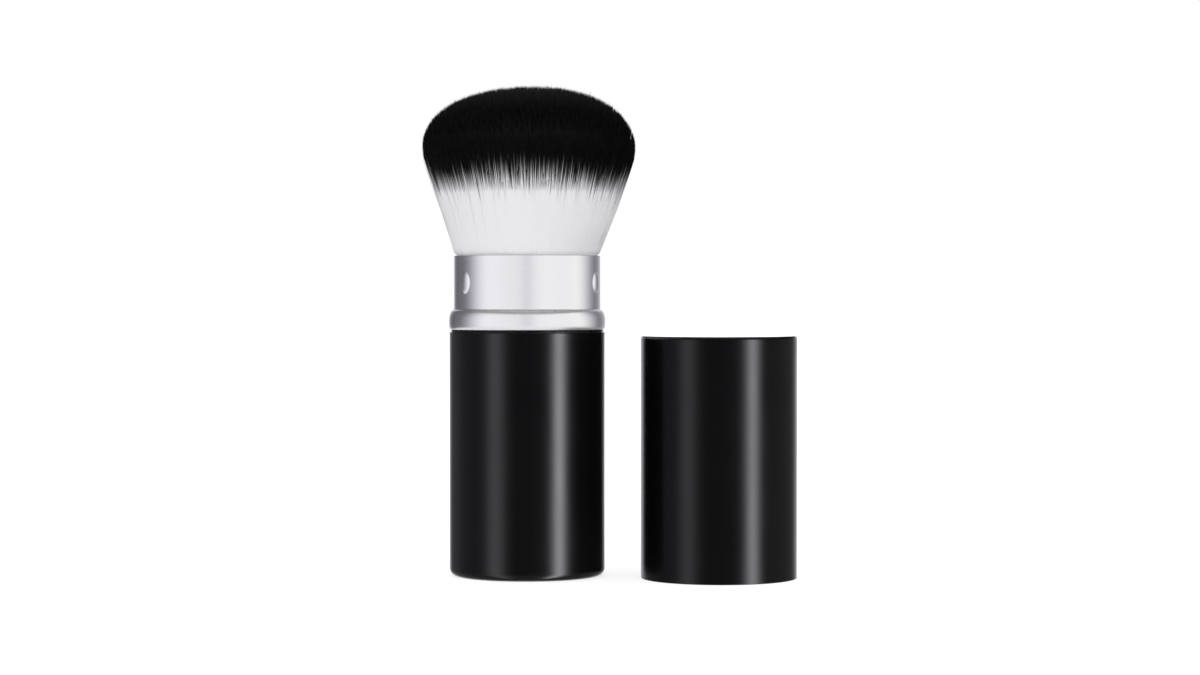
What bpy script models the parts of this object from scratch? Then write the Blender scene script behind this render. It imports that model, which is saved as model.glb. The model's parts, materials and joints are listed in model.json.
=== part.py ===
"""Retractable makeup brush standing on its base, with its cap taken off and stood beside it.

Metres, +Z up. The origin is the centre of the barrel's underside, +Z runs up the brush and +X points to the
side where the cap stands. A silver sleeve (a collar over a finger bead, with a hidden tail) slides up out of
the black barrel along a fixed post. It gathers the flared hair, which stays on the post, so that the cap can
go over the collar. All pieces are turned or drawn rounds about one axis, and the sizes below start at the
barrel's wall and work inwards, each piece fitting the one outside it.
"""

import math

import bmesh
import bpy
import numpy as np
from mathutils import Matrix, Vector

OBJECT_NAME = "retractable_makeup_brush"

# Barrel: a drawn aluminium cup
BARREL_DIAMETER = 0.0320
BARREL_HEIGHT = 0.0503
BARREL_WALL = 0.0005
BASE_CORNER = 0.0016

# Cap: a second drawn cup, as wide as the barrel, standing on its mouth
CAP_HEIGHT = 0.0496
CAP_WALL = 0.0005
CAP_CORNER = 0.0006
CAP_BESIDE_HAIR = 0.0013
CAP_FORWARD = 0.0055

# Clearances: between sliding pieces, between glued or pressed pieces, and under a piece that sits on another
SLIDE_CLEARANCE = 0.00015
PRESS_CLEARANCE = 0.00015
SEAT_GAP = 0.0003
REST_GAP = 0.0001

# Mouth bush: the ring that guides the sleeve in the barrel's mouth
BUSH_WALL = 0.0009
BUSH_DEPTH = 0.0060
BUSH_FLANGE = 0.0002
BUSH_FLANGE_SET_BACK = 0.00025

# Sleeve: collar, bead and tail drawn from one tube
SLEEVE_WALL = 0.0005
COLLAR_HEIGHT = 0.0106
BEAD_PROUD = 0.0001
BEAD_LOWER_HEIGHT = 0.00195
BEAD_LOWER_DEPTH = 0.00105
BEAD_UPPER_HEIGHT = 0.00225
BEAD_FILLET = 0.00055
BEAD_UPPER_SWEEP = math.radians(75)
TAIL_FILLET = 0.0003

# Bumps: three embossed lenses on the collar that grip the inside of the cap
BUMP_COUNT = 3
BUMP_WIDTH = 0.0041
BUMP_HEIGHT = 0.0057
BUMP_PROUD = 0.00042
BUMP_SINK = 0.0003
BUMP_TO_CAP = 0.00008
BUMP_HEIGHT_SHARE = 0.45
BUMP_TURN = math.radians(-55)

# Post: the moulded core that stands in the barrel and carries the hair
FOOT_THICKNESS = 0.0024
FOOT_FILLET = 0.0010
STOP_LEDGE = 0.0016
KEYWAY_DEPTH = 0.0012
KEYWAY_ABOVE_FOOT = 0.0020
POST_WALL = 0.00265
SPIGOT_DIAMETER = 0.0076
SPIGOT_PROUD = 0.0011

# Weight slug: the steel bar in the post that keeps the brush standing
SLUG_LENGTH = 0.0300
SLUG_CHAMFER = 0.0006

# Guide ring and friction ring: in the sleeve's tail, running on the post
RING_ABOVE_FOOT = 0.0030
RING_FLANGE = 0.0008
RING_HEIGHT = 0.0055
LUG_COUNT = 3
LUG_WIDTH = 0.0020
LUG_HEIGHT = 0.0020
LUG_ROOT = 0.0005
FRICTION_CORD = 0.0008
FRICTION_CLEARANCE = 0.00005
GROOVE_PLAY = 0.0005
GROOVE_ABOVE_FLANGE = 0.0019

# Hair cup: the inner ferrule on the post's top, whose floor stops the sleeve's guide ring
CUP_WALL = 0.0004
CUP_SINK = 0.0025
CUP_BELOW_COLLAR = 0.0040

# Resin plug: what the hair's roots are set in
PLUG_THICKNESS = 0.0036

# Bristles
STRAND_COUNT = 324
STRAND_SIDES = 3
ROOT_SLAB = 0.0016
HAIR_WIDEST_DIAMETER = 0.0442
HAIR_WIDEST_ABOVE_COLLAR = 0.0219
HAIR_DOME_HEIGHT = 0.0132
HAIR_DOME_POWER = 2.12
STRAND_ROOT_WIDTH = 0.00088
STRAND_RIM_WIDTH = 0.00096
STRAND_MID_WIDTH = 0.00135
STRAND_MID_SHARE = 0.74
DYE_BELOW_WIDEST = 0.0054
DYE_FADE = 0.0064

# How finely rounds are cut
ROUND_STEPS = 48
HIDDEN_STEPS = 24
ARC_STEPS = 4
CORD_STEPS = 6
BUMP_SEGMENTS = 24
BUMP_RINGS = 16
OVERRUN = 0.0020
MERGE = 0.000001
SHARP_ANGLE = math.radians(28)

# Radii, from the barrel's wall inwards
BARREL_RADIUS = BARREL_DIAMETER / 2
BARREL_BORE = BARREL_RADIUS - BARREL_WALL
BUSH_RADIUS = BARREL_BORE - PRESS_CLEARANCE
BUSH_BORE = BUSH_RADIUS - BUSH_WALL
TAIL_RADIUS = BUSH_BORE - SLIDE_CLEARANCE
TAIL_BORE = TAIL_RADIUS - SLEEVE_WALL
CUP_RADIUS = TAIL_BORE - SLIDE_CLEARANCE
CUP_BORE = CUP_RADIUS - CUP_WALL
POST_RADIUS = CUP_RADIUS - STOP_LEDGE
KEYWAY_RADIUS = POST_RADIUS - KEYWAY_DEPTH
SLUG_BORE = KEYWAY_RADIUS - POST_WALL
SLUG_RADIUS = SLUG_BORE - PRESS_CLEARANCE
CAP_RADIUS = BARREL_RADIUS
COLLAR_RADIUS = CAP_RADIUS - CAP_WALL - BUMP_TO_CAP - BUMP_PROUD
BEAD_RADIUS = BARREL_RADIUS + BEAD_PROUD

# Heights, from the floor up
FOOT_BOTTOM = BARREL_WALL + SEAT_GAP
FOOT_TOP = FOOT_BOTTOM + FOOT_THICKNESS
RING_BOTTOM = FOOT_TOP + RING_ABOVE_FOOT
RING_SEAT = RING_BOTTOM + RING_FLANGE
RING_TOP = RING_SEAT + RING_HEIGHT
TAIL_BOTTOM = RING_SEAT + REST_GAP
BUSH_TOP = BARREL_HEIGHT + REST_GAP + BUSH_FLANGE
BEAD_BOTTOM = BUSH_TOP + REST_GAP
BEAD_MIDDLE = BEAD_BOTTOM + BEAD_LOWER_HEIGHT
COLLAR_BOTTOM = BEAD_MIDDLE + BEAD_UPPER_HEIGHT + BEAD_FILLET
COLLAR_TOP = COLLAR_BOTTOM + COLLAR_HEIGHT
CUP_BOTTOM = BARREL_HEIGHT - CUP_SINK
CUP_FLOOR = CUP_BOTTOM + CUP_WALL
CUP_TOP = COLLAR_TOP - CUP_BELOW_COLLAR
POST_TOP = CUP_BOTTOM - SEAT_GAP
SPIGOT_TOP = CUP_FLOOR + SPIGOT_PROUD
PLUG_BOTTOM = CUP_FLOOR + SEAT_GAP
PLUG_TOP = PLUG_BOTTOM + PLUG_THICKNESS
ROOT_BOTTOM = PLUG_TOP + SEAT_GAP
ROOT_TOP = ROOT_BOTTOM + ROOT_SLAB
HAIR_WIDEST = COLLAR_TOP + HAIR_WIDEST_ABOVE_COLLAR
SLEEVE_TRAVEL = POST_TOP - RING_TOP

# Where the cap stands
CAP_PLACE = Vector((HAIR_WIDEST_DIAMETER / 2 + CAP_BESIDE_HAIR + CAP_RADIUS, -CAP_FORWARD, 0))


def clear_scene():
    """Removes every object, so that the script can be run again in the same file."""
    for obj in list(bpy.data.objects):
        bpy.data.objects.remove(obj, do_unlink=True)


def collection(name):
    """The collection of this name in the scene, made if it isn't there yet."""
    found = bpy.data.collections.get(name) or bpy.data.collections.new(name)
    if name not in bpy.context.scene.collection.children:
        bpy.context.scene.collection.children.link(found)
    return found


def linear(hex_colour):
    """The linear RGBA of an sRGB colour such as 1a2b3c."""
    shares = [int(hex_colour[i : i + 2], 16) / 255 for i in (0, 2, 4)]
    return [s / 12.92 if s <= 0.04045 else ((s + 0.055) / 1.055) ** 2.4 for s in shares] + [1.0]


def material(name, hex_colour, roughness, metallic=0.0):
    """A Principled material of one colour."""
    made = bpy.data.materials.get(name) or bpy.data.materials.new(name)
    made.use_nodes = True
    made.diffuse_color = linear(hex_colour)
    shader = made.node_tree.nodes["Principled BSDF"]
    shader.inputs["Base Color"].default_value = linear(hex_colour)
    shader.inputs["Roughness"].default_value = roughness
    shader.inputs["Metallic"].default_value = metallic
    return made


def dyed_material(name, root_hex, tip_hex):
    """Synthetic hair, pale at the root and dyed dark from the height where the dye starts to fade in."""
    made = material(name, tip_hex, roughness=0.55)
    nodes = made.node_tree.nodes
    links = made.node_tree.links
    place = nodes.new("ShaderNodeTexCoord")
    split = nodes.new("ShaderNodeSeparateXYZ")
    height = nodes.new("ShaderNodeMapRange")
    ramp = nodes.new("ShaderNodeValToRGB")
    height.inputs["From Min"].default_value = HAIR_WIDEST - DYE_BELOW_WIDEST - DYE_FADE / 2
    height.inputs["From Max"].default_value = HAIR_WIDEST - DYE_BELOW_WIDEST + DYE_FADE / 2
    ramp.color_ramp.elements[0].color = linear(root_hex)
    ramp.color_ramp.elements[1].color = linear(tip_hex)
    links.new(place.outputs["Object"], split.inputs["Vector"])
    links.new(split.outputs["Z"], height.inputs["Value"])
    links.new(height.outputs["Result"], ramp.inputs["Fac"])
    links.new(ramp.outputs["Color"], nodes["Principled BSDF"].inputs["Base Color"])
    return made


def empty(name, place, parent=None):
    """An empty that a body's pieces hang from, on its joint's axis."""
    made = bpy.data.objects.new(name, None)
    made.location = place
    made.parent = parent
    made.empty_display_size = BARREL_RADIUS
    bpy.context.scene.collection.children[OBJECT_NAME].objects.link(made)
    return made


def arc(centre, radii, start, end, steps=ARC_STEPS):
    """Points (r, z) along an arc of an ellipse about centre, from one angle to another, both ends included."""
    angles = np.linspace(start, end, steps + 1)
    return [(centre[0] + radii[0] * math.cos(a), centre[1] + radii[1] * math.sin(a)) for a in angles]


def turned(name, profile, closed=True, steps=ROUND_STEPS, wall=0.0):
    """A profile of (r, z) points, running down its outer side, turned about Z.

    A closed profile is a ring or ends on the axis at both ends. An open one is a skin, which wall thickens
    inwards.
    """
    mesh = bpy.data.meshes.new(name)
    points = [(r, 0.0, z) for r, z in profile]
    ends_on_axis = profile[0][0] == 0 and profile[-1][0] == 0
    edges = [(i, i + 1) for i in range(len(points) - 1)]
    if closed and not ends_on_axis:
        edges.append((len(points) - 1, 0))
    mesh.from_pydata(points, edges, [])
    obj = bpy.data.objects.new(name, mesh)
    bpy.context.scene.collection.objects.link(obj)
    screw = obj.modifiers.new("Turn", "SCREW")
    screw.steps = steps
    screw.render_steps = steps
    screw.use_merge_vertices = True
    screw.merge_threshold = MERGE
    if wall:
        solidify = obj.modifiers.new("Wall", "SOLIDIFY")
        solidify.thickness = wall
        solidify.offset = -1
        solidify.use_even_offset = True
    return obj


def box(name, low, high):
    """A box between two corners."""
    bm = bmesh.new()
    bmesh.ops.create_cube(bm, size=1)
    low = Vector(low)
    size = Vector(high) - low
    bmesh.ops.transform(
        bm, matrix=Matrix.Translation(low + size / 2) @ Matrix.Diagonal(size).to_4x4(), verts=bm.verts
    )
    return mesh_object(name, bm)


def ellipsoid(name, semi_axes):
    """A sphere with its poles along X, stretched to three half sizes."""
    bm = bmesh.new()
    bmesh.ops.create_uvsphere(bm, u_segments=BUMP_SEGMENTS, v_segments=BUMP_RINGS, radius=1)
    bmesh.ops.rotate(bm, matrix=Matrix.Rotation(math.pi / 2, 3, "Y"), verts=bm.verts)
    bmesh.ops.scale(bm, vec=semi_axes, verts=bm.verts)
    return mesh_object(name, bm)


def mesh_object(name, bm):
    """An object that holds a finished bmesh."""
    mesh = bpy.data.meshes.new(name)
    bm.to_mesh(mesh)
    bm.free()
    obj = bpy.data.objects.new(name, mesh)
    bpy.context.scene.collection.objects.link(obj)
    return obj


def turned_copies(obj, count, first_angle=0.0):
    """The object and copies of it, equally spaced about Z."""
    copies = []
    for i in range(count):
        made = obj if i == 0 else obj.copy()
        if i:
            bpy.context.scene.collection.objects.link(made)
        made.rotation_euler.z = first_angle + i * math.tau / count
        copies.append(made)
    return copies


def combine(obj, tools, operation):
    """Adds the tools to the object, or cuts them from it, and files them among the cutters."""
    for tool in tools:
        modifier = obj.modifiers.new(tool.name, "BOOLEAN")
        modifier.operation = operation
        modifier.object = tool
        modifier.solver = "EXACT"
        tool.hide_render = True
        tool.display_type = "WIRE"
        for holder in list(tool.users_collection):
            holder.objects.unlink(tool)
        collection("cutters").objects.link(tool)


def finish(obj, surface, parent):
    """Applies the modifiers, shades the rounds smooth, gives the material and hangs the piece on its body."""
    graph = bpy.context.evaluated_depsgraph_get()
    mesh = bpy.data.meshes.new_from_object(obj.evaluated_get(graph))
    obj.modifiers.clear()
    obj.data = mesh
    mesh.materials.clear()
    mesh.materials.append(surface)
    mesh.shade_smooth()
    mesh.set_sharp_from_angle(angle=SHARP_ANGLE)
    obj.parent = parent
    bpy.context.scene.collection.objects.unlink(obj)
    bpy.context.scene.collection.children[OBJECT_NAME].objects.link(obj)
    return obj


def make_barrel():
    """The black tube in the hand: a drawn cup with a flat base and a rounded base corner."""
    corner = (BARREL_RADIUS - BASE_CORNER, BASE_CORNER)
    profile = [(BARREL_RADIUS, BARREL_HEIGHT)]
    profile += arc(corner, (BASE_CORNER, BASE_CORNER), 0, -math.pi / 2)
    profile.append((0, 0))
    return turned("barrel", profile, closed=False, wall=BARREL_WALL)


def make_mouth_bush():
    """The moulded ring in the barrel's mouth. Its flange is the dark line under the bead."""
    lead_in = TAIL_FILLET + SLIDE_CLEARANCE
    flange_radius = BARREL_RADIUS - BUSH_FLANGE_SET_BACK
    return turned(
        "mouth_bush",
        [
            (BUSH_BORE + lead_in, BUSH_TOP),
            (flange_radius, BUSH_TOP),
            (flange_radius, BUSH_TOP - BUSH_FLANGE),
            (BUSH_RADIUS, BUSH_TOP - BUSH_FLANGE),
            (BUSH_RADIUS, BARREL_HEIGHT - BUSH_DEPTH),
            (BUSH_BORE, BARREL_HEIGHT - BUSH_DEPTH),
            (BUSH_BORE, BUSH_TOP - lead_in),
        ],
    )


def bead_profile():
    """The bead's skin from the collar down to its flat underside.

    A concave fillet leaves the collar and meets an elliptical shoulder, which swells to the widest ring. A
    shorter ellipse rounds in below.
    """
    shoulder = BEAD_RADIUS - COLLAR_RADIUS
    upper = arc(
        (COLLAR_RADIUS, BEAD_MIDDLE), (shoulder, BEAD_UPPER_HEIGHT), BEAD_UPPER_SWEEP, 0
    )
    start = Vector((COLLAR_RADIUS, COLLAR_BOTTOM))
    end = Vector(upper[0])
    slope = BEAD_UPPER_HEIGHT / (shoulder * math.tan(BEAD_UPPER_SWEEP))
    bend = Vector((COLLAR_RADIUS, end.y + (end.x - COLLAR_RADIUS) * slope))
    fillet = []
    for share in np.linspace(0, 1, ARC_STEPS)[:-1]:
        fillet.append(tuple(start.lerp(bend, share).lerp(bend.lerp(end, share), share)))
    lower = arc(
        (BEAD_RADIUS - BEAD_LOWER_DEPTH, BEAD_MIDDLE),
        (BEAD_LOWER_DEPTH, BEAD_LOWER_HEIGHT),
        0,
        -math.pi / 2,
    )
    return fillet + upper + lower[1:]


def make_sleeve():
    """The silver sleeve: collar, bead and the tail that runs down into the barrel, with its embossed bumps."""
    turn_in = (TAIL_RADIUS + TAIL_FILLET, BEAD_BOTTOM - TAIL_FILLET)
    profile = [(COLLAR_RADIUS, COLLAR_TOP)]
    profile += bead_profile()
    profile += arc(turn_in, (TAIL_FILLET, TAIL_FILLET), math.pi / 2, math.pi, steps=2)
    profile.append((TAIL_RADIUS, TAIL_BOTTOM))
    sleeve = turned("sleeve", profile, closed=False, wall=SLEEVE_WALL)
    semi_axes = (BUMP_SINK + BUMP_PROUD, BUMP_WIDTH / 2, BUMP_HEIGHT / 2)
    height = COLLAR_BOTTOM + COLLAR_HEIGHT * BUMP_HEIGHT_SHARE
    for name, radius, operation in (
        ("bump", COLLAR_RADIUS - BUMP_SINK, "UNION"),
        ("dimple", COLLAR_RADIUS - BUMP_SINK - SLEEVE_WALL, "DIFFERENCE"),
    ):
        lens = ellipsoid(name, semi_axes)
        lens.data.transform(Matrix.Translation((radius, 0, height)))
        combine(sleeve, turned_copies(lens, BUMP_COUNT, BUMP_TURN - math.pi / 2), operation)
    return sleeve


def make_guide_ring():
    """The moulded ring in the tail's end. Its lugs run in the post's keyways and its groove holds a cord ring."""
    outer = TAIL_BORE - PRESS_CLEARANCE
    inner = POST_RADIUS + SLIDE_CLEARANCE
    groove = POST_RADIUS + FRICTION_CORD + 2 * FRICTION_CLEARANCE
    groove_low = RING_SEAT + GROOVE_ABOVE_FLANGE - (FRICTION_CORD + GROOVE_PLAY) / 2
    groove_high = groove_low + FRICTION_CORD + GROOVE_PLAY
    ring = turned(
        "guide_ring",
        [
            (outer, RING_TOP),
            (outer, RING_SEAT),
            (TAIL_RADIUS, RING_SEAT),
            (TAIL_RADIUS, RING_BOTTOM),
            (inner, RING_BOTTOM),
            (inner, groove_low),
            (groove, groove_low),
            (groove, groove_high),
            (inner, groove_high),
            (inner, RING_TOP),
        ],
    )
    lug = box(
        "lug",
        (KEYWAY_RADIUS + SLIDE_CLEARANCE, -LUG_WIDTH / 2, RING_TOP - LUG_HEIGHT),
        (inner + LUG_ROOT, LUG_WIDTH / 2, RING_TOP),
    )
    combine(ring, turned_copies(lug, LUG_COUNT), "UNION")
    return ring


def make_friction_ring():
    """The rubber cord ring that rubs on the post, so that the sleeve stays where it is put."""
    cord = FRICTION_CORD / 2
    centre = (POST_RADIUS + FRICTION_CLEARANCE + cord, RING_SEAT + GROOVE_ABOVE_FLANGE)
    round_cord = arc(centre, (cord, cord), math.pi / 2, -math.tau + math.pi / 2, steps=CORD_STEPS)
    return turned("friction_ring", round_cord[:-1])


def make_post():
    """The core: a foot that fills the barrel's floor, a keyed column, and a spigot that the hair cup sits on."""
    foot_radius = BARREL_BORE - SEAT_GAP
    foot_chamfer = BASE_CORNER - BARREL_WALL
    spigot = SPIGOT_DIAMETER / 2
    slug_top = FOOT_BOTTOM + REST_GAP + SLUG_LENGTH + SEAT_GAP
    fillet_centre = (POST_RADIUS + FOOT_FILLET, FOOT_TOP + FOOT_FILLET)
    profile = [
        (0, SPIGOT_TOP),
        (spigot, SPIGOT_TOP),
        (spigot, POST_TOP),
        (POST_RADIUS, POST_TOP),
    ]
    profile += arc(fillet_centre, (FOOT_FILLET, FOOT_FILLET), math.pi, 1.5 * math.pi, steps=2)
    profile += [
        (foot_radius, FOOT_TOP),
        (foot_radius, FOOT_BOTTOM + foot_chamfer),
        (foot_radius - foot_chamfer, FOOT_BOTTOM),
        (SLUG_BORE, FOOT_BOTTOM),
        (SLUG_BORE, slug_top),
        (0, slug_top),
    ]
    post = turned("post", profile)
    half_width = LUG_WIDTH / 2 + SLIDE_CLEARANCE
    keyway = box(
        "keyway",
        (KEYWAY_RADIUS, -half_width, FOOT_TOP + KEYWAY_ABOVE_FOOT),
        (POST_RADIUS + OVERRUN, half_width, POST_TOP + OVERRUN),
    )
    combine(post, turned_copies(keyway, LUG_COUNT), "DIFFERENCE")
    return post


def make_weight_slug():
    """The steel bar in the post's bore, chamfered at both ends."""
    low = FOOT_BOTTOM + REST_GAP
    high = low + SLUG_LENGTH
    return turned(
        "weight_slug",
        [
            (0, high),
            (SLUG_RADIUS - SLUG_CHAMFER, high),
            (SLUG_RADIUS, high - SLUG_CHAMFER),
            (SLUG_RADIUS, low + SLUG_CHAMFER),
            (SLUG_RADIUS - SLUG_CHAMFER, low),
            (0, low),
        ],
        steps=HIDDEN_STEPS,
    )


def make_hair_cup():
    """The inner ferrule. Its floor has a hole for the spigot and overhangs the post as the sleeve's stop."""
    hole = SPIGOT_DIAMETER / 2 + PRESS_CLEARANCE
    return turned(
        "hair_cup",
        [
            (CUP_RADIUS, CUP_TOP),
            (CUP_RADIUS, CUP_BOTTOM),
            (hole, CUP_BOTTOM),
            (hole, CUP_FLOOR),
            (CUP_BORE, CUP_FLOOR),
            (CUP_BORE, CUP_TOP),
        ],
    )


def make_resin_plug():
    """The resin that holds the roots, cast over the spigot."""
    radius = CUP_BORE - SEAT_GAP
    pocket = SPIGOT_DIAMETER / 2 + SEAT_GAP
    return turned(
        "resin_plug",
        [
            (0, PLUG_TOP),
            (radius, PLUG_TOP),
            (radius, PLUG_BOTTOM),
            (pocket, PLUG_BOTTOM),
            (pocket, SPIGOT_TOP + SEAT_GAP),
            (0, SPIGOT_TOP + SEAT_GAP),
        ],
        steps=HIDDEN_STEPS,
    )


def dome_height(radius):
    """How high above the widest ring the hair's trimmed dome is at a radius. The dome is a superellipse."""
    share = radius / (HAIR_WIDEST_DIAMETER / 2)
    return HAIR_DOME_HEIGHT * max(0.0, 1 - share**HAIR_DOME_POWER) ** (1 / HAIR_DOME_POWER)


def strand_path(share):
    """Four (r, z, width) points up a strand, whose share of the tuft's radius is the same all the way up.

    It stands straight in the hair cup, flares out above it and ends as a point on the dome. A strand nearer the
    middle always lies inside its outer neighbour, so that none cross.
    """
    root = CUP_BORE - SEAT_GAP - STRAND_ROOT_WIDTH / 2
    rim = CUP_BORE - SLIDE_CLEARANCE - STRAND_RIM_WIDTH / 2
    tip = HAIR_WIDEST_DIAMETER / 2
    tip_height = HAIR_WIDEST + dome_height(share * tip)
    middle = rim + (tip - rim) * STRAND_MID_SHARE
    middle_height = CUP_TOP + (tip_height - CUP_TOP) * STRAND_MID_SHARE
    return [
        (share * root, ROOT_TOP - ROOT_SLAB / 2, STRAND_ROOT_WIDTH),
        (share * rim, CUP_TOP, STRAND_RIM_WIDTH),
        (share * middle, middle_height, STRAND_MID_WIDTH),
        (share * tip, tip_height, 0),
    ]


def add_strand(bm, share, angle):
    """Lofts one strand: a ring of corners at each width, a cap at the root and a point at the tip."""
    *path, (tip_radius, tip_height, _) = strand_path(share)
    corners = [angle + math.pi + k * math.tau / STRAND_SIDES for k in range(STRAND_SIDES)]
    rings = []
    for radius, height, width in path:
        centre = Vector((radius * math.cos(angle), radius * math.sin(angle), height))
        rings.append(
            [
                bm.verts.new(centre + width / 2 * Vector((math.cos(a), math.sin(a), 0)))
                for a in corners
            ]
        )
    tip = bm.verts.new((tip_radius * math.cos(angle), tip_radius * math.sin(angle), tip_height))
    bm.faces.new(reversed(rings[0]))
    for k in range(STRAND_SIDES):
        following = (k + 1) % STRAND_SIDES
        for low, high in zip(rings, rings[1:]):
            bm.faces.new((low[k], low[following], high[following], high[k]))
        bm.faces.new((rings[-1][k], rings[-1][following], tip))


def make_bristles():
    """The hair: strands laid out like sunflower seeds, fused to the slab of resin that holds their roots."""
    radius = CUP_BORE - SEAT_GAP
    slab = turned(
        "bristles",
        [(0, ROOT_TOP), (radius, ROOT_TOP), (radius, ROOT_BOTTOM), (0, ROOT_BOTTOM)],
        steps=HIDDEN_STEPS,
    )
    golden_angle = math.pi * (3 - math.sqrt(5))
    bm = bmesh.new()
    for i in range(STRAND_COUNT):
        share = math.sqrt((i + 0.5) / STRAND_COUNT)
        add_strand(bm, share, i * golden_angle)
    combine(slab, [mesh_object("strands", bm)], "UNION")
    return slab


def make_cap():
    """The cap: a drawn cup standing on its open mouth, with a small corner round its closed top."""
    corner = (CAP_RADIUS - CAP_CORNER, CAP_HEIGHT - CAP_CORNER)
    profile = [(0, CAP_HEIGHT)]
    profile += arc(corner, (CAP_CORNER, CAP_CORNER), math.pi / 2, 0, steps=3)
    profile.append((CAP_RADIUS, 0))
    return turned("cap", profile, closed=False, wall=CAP_WALL)


def main():
    clear_scene()
    collection(OBJECT_NAME)
    collection("cutters").hide_render = True
    black_metal = material("black_lacquered_aluminium", "161617", roughness=0.28, metallic=0.0)
    satin_metal = material("satin_aluminium", "d6d6d9", roughness=0.3, metallic=1.0)
    black_plastic = material("black_moulded_plastic", "111112", roughness=0.5)
    white_plastic = material("white_moulded_plastic", "dcdcd8", roughness=0.45)
    steel = material("plain_steel", "8d8f92", roughness=0.4, metallic=1.0)
    rubber = material("silicone_rubber", "3a3a3c", roughness=0.7)
    resin = material("amber_resin", "b89a6a", roughness=0.35)
    hair = dyed_material("dyed_synthetic_hair", "e6e6e9", "0e0e0f")

    handle = empty("handle", (0, 0, 0))
    sleeve = empty("sleeve_slide", (0, 0, BEAD_BOTTOM), handle)
    cap = empty("cap_lift", CAP_PLACE, handle)

    finish(make_barrel(), black_metal, handle)
    finish(make_mouth_bush(), black_plastic, handle)
    finish(make_post(), white_plastic, handle)
    finish(make_weight_slug(), steel, handle)
    finish(make_hair_cup(), satin_metal, handle)
    finish(make_resin_plug(), resin, handle)
    finish(make_bristles(), hair, handle)
    for piece in (
        finish(make_sleeve(), satin_metal, sleeve),
        finish(make_guide_ring(), white_plastic, sleeve),
        finish(make_friction_ring(), rubber, sleeve),
    ):
        piece.location.z = -BEAD_BOTTOM
    finish(make_cap(), black_metal, cap)
    print(f"sleeve travel {SLEEVE_TRAVEL:.4f} m, cap stands at {CAP_PLACE.x:.4f}, {CAP_PLACE.y:.4f} m")


main()
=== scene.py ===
"""Retractable makeup brush with its cap stood beside it: surfaces, finishes and a small studio.

Laid out as a Blender add-on and run as a script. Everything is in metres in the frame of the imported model: +Z runs
up the brush, +X points to the side where the cap stands and -Y to the viewer.
"""

import functools
import json
import math

import bpy
import numpy as np
from bpy.props import FloatProperty, FloatVectorProperty, IntProperty, PointerProperty
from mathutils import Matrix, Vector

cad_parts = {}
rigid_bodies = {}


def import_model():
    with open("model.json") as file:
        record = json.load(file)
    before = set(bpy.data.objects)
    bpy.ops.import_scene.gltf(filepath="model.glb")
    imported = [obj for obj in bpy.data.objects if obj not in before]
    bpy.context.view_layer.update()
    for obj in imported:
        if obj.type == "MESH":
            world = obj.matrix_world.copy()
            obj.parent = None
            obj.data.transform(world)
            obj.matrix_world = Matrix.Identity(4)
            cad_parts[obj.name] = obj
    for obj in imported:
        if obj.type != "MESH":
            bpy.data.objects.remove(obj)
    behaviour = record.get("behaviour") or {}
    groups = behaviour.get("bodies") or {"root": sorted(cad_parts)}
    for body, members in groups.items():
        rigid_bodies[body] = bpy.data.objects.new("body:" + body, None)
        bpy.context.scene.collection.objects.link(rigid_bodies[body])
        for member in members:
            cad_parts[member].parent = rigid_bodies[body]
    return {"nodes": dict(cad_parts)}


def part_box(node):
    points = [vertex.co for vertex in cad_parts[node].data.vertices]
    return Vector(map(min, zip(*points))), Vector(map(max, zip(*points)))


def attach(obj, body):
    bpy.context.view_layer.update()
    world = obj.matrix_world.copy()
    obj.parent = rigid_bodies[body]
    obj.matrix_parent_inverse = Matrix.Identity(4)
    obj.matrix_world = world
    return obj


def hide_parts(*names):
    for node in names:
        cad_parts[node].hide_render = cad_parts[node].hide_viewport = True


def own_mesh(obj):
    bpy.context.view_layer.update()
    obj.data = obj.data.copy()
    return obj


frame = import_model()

bl_info = {
    "name": "Retractable makeup brush",
    "version": (1, 0, 0),
    "blender": (4, 5, 0),
    "location": "3D View > Sidebar > Makeup brush",
    "description": "Builds the fine surfaces, hair, finishes and studio of a retractable makeup brush",
    "category": "Object",
}

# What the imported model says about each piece's place
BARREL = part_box("barrel")
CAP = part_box("cap")
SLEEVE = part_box("sleeve")
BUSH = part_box("mouth_bush")
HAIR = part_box("bristles")
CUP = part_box("hair_cup")

# The height of the collar's rim
RIM = SLEEVE[1].z

SEED = 7
# A quarter turn
QUARTER = math.pi / 2
# How many columns the cups and the sleeve have all round
TURN_STEPS = 256
SLEEVE_STEPS = 300
# How many pieces the hair is in, how many clumps its strands drift into, and how many sides a strand has
SECTORS = 16
CLUMPS = 600
STRAND_SIDES = 3
# The hair's radius at the collar's rim, how far it stays inside the hair cup, and how far under the dome its core ends
HAIR_IN_COLLAR = 0.01440
CUP_WALL = 0.0007
CORE_SUNK = 0.0030
# In the hair's UV map v is the height in the hair's span, which ends a little over its tips, and u the height of a
# strand's dye in the dye's range, a sliver wide
HAIR_LOW = HAIR[0].z
HAIR_SPAN = HAIR[1].z - HAIR[0].z + 0.0015
DYE_RANGE = 0.0120
SLIVER = 0.0006
# What polished surfaces see of the room: the angle from -Y towards +X in degrees, and the brightness there
ROOM_LEVELS = (
    (-180, 0.80), (-172, 0.55), (-163, 0.15), (-145, 0.115), (-130, 0.165), (-60, 0.165), (-25, 0.075),
    (25, 0.075), (60, 0.04), (80, 0.008), (148, 0.008), (160, 0.12), (171, 0.45), (180, 0.80),
)
# Where the overhead lamp stands, and the point in the brush that it is turned towards
LAMP_PLACE = (0.06, -0.85, 0.75)
LAMP_AIM = (0.02, 0.0, 0.05)
# What is dim in the room is bluish, and what is bright is neutral
DIM_TINT = (0.915, 0.90, 1.06)
COOL_WHITE = (0.99, 0.975, 1.02)


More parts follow.
